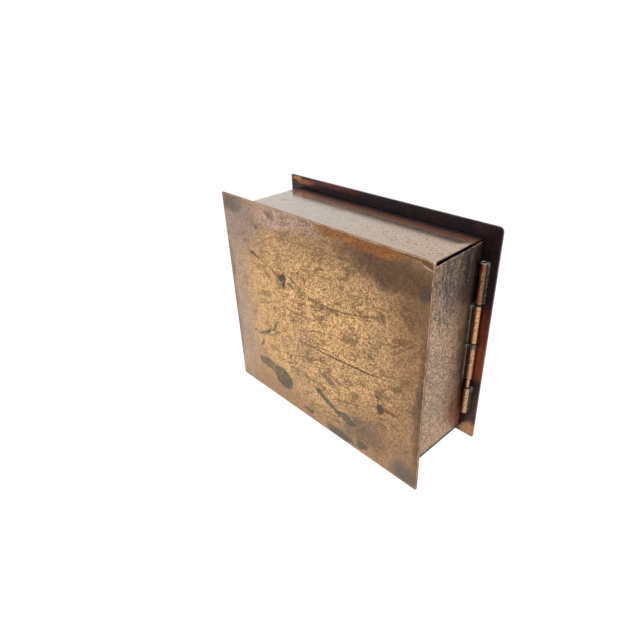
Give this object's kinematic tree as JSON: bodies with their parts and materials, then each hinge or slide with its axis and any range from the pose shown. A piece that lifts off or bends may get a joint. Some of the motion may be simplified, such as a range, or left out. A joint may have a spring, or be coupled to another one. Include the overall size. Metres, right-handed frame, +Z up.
{
  "type": "wall mounted letter box",
  "caption": "Shallow copper letter box between an overhanging front plate and a wall plate; the box swings open on an upright tube hinge at its right side.",
  "frame": {"origin": "centre of the wall plate's back face, which lies on the wall, and of its four screw holes", "axes": "+Z up, +X to the right of someone who faces the box, +Y into the wall; the box's front faces -Y"},
  "size_m": [0.2607, 0.0913, 0.2243],
  "materials": {
    "front_copper": "tan copper with brown patina, fine grain, dark scratches and grey-green stains",
    "band_copper": "pinkish brown copper, speckled, darker towards the wall",
    "dark_copper": "near-black purple-brown patina with heat-coloured orange patches",
    "hinge_copper": "rubbed bright copper tube",
    "leaf_copper": "dull brown copper strip",
    "solder": "dull grey solder with traces of verdigris"
  },
  "bodies": {
    "wall_side": {"wall_plate": "dark_copper", "plate_knuckle_top": "hinge_copper", "plate_knuckle_bottom": "hinge_copper", "plate_solder_top": "solder", "plate_solder_bottom": "solder", "hinge_pin": "hinge_copper"},
    "box": {"front_plate": "front_copper", "box_band": "band_copper", "front_seam_solder": "solder", "hinge_leaf_upper": "leaf_copper", "hinge_leaf_lower": "leaf_copper", "box_knuckle_upper": "hinge_copper", "box_knuckle_lower": "hinge_copper", "leaf_solder_upper": "solder", "leaf_solder_lower": "solder"}
  },
  "joints": [
    {"name": "box_swing", "type": "hinge", "parent": "wall_side", "child": "box", "pos_m": [0.1178, -0.0056, 0], "axis": [0, 0, 1], "range_deg": [0, 85]}
  ]
}
